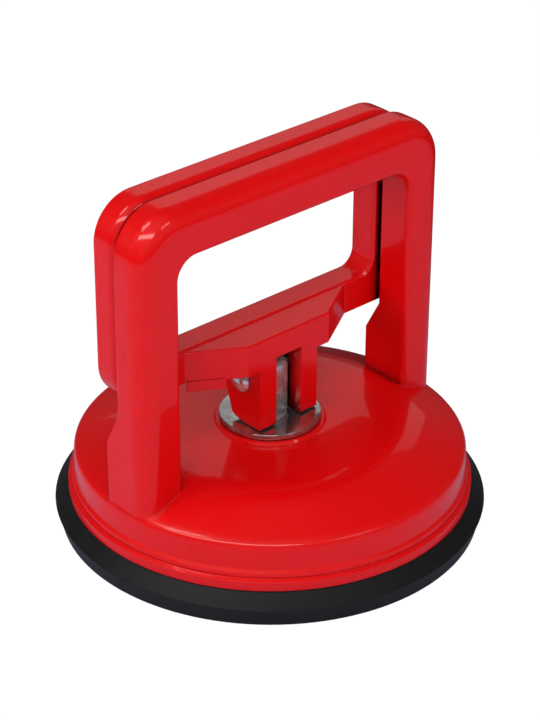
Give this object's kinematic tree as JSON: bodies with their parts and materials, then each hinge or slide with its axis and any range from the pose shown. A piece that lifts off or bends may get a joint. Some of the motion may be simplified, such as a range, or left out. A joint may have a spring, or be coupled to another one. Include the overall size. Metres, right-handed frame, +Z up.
{
  "type": "suction lifter",
  "caption": "Hand-held suction lifter: a rubber cup under a red cast dome with a fixed grip, and a ring lever behind it whose cam prongs pull the middle of the cup up.",
  "frame": {"origin": "On the floor under the middle of the cup, where the sealing ring rests.", "axes": "+Z up from the floor through the stem. +X along the two handles, to the user's right when the lever is on the far side. +Y to the rear, the side the lever opens to."},
  "size_m": [0.1178, 0.1178, 0.1055],
  "materials": {
    "red_paint": "gloss",
    "lever_paint": "gloss",
    "rubber": "matte",
    "washer_steel": "satin",
    "pin_chrome": "gloss",
    "clip_steel": "satin",
    "stem_steel": "satin",
    "zinc_steel": "satin",
    "spring_steel": "satin",
    "bush_bronze": "satin"
  },
  "bodies": {
    "housing": {"housing": "red_paint", "wear_washer": "washer_steel", "guide_bush": "bush_bronze", "spring_seat": "zinc_steel", "spring": "spring_steel"},
    "pad": {"insert_plate": "zinc_steel", "rubber_disc": "rubber", "stem": "stem_steel", "stem_nut": "zinc_steel"},
    "lever": {"lever": "lever_paint", "hinge_pin": "pin_chrome", "pin_clip": "clip_steel"}
  },
  "joints": [
    {"name": "pad_slide", "type": "slide", "parent": "housing", "child": "pad", "axis": [0, 0, 1], "range_m": [-0.0029, 0], "deforming": ["spring"]},
    {"name": "lever_pivot", "type": "hinge", "parent": "pad", "child": "lever", "pos_m": [0, 0, 0.0434], "axis": [-1, 0, 0], "range_deg": [0, 83]}
  ],
  "couplings": [
    {"joint": "pad_slide", "follows": "lever_pivot", "m_per_rad": -0.002}
  ]
}
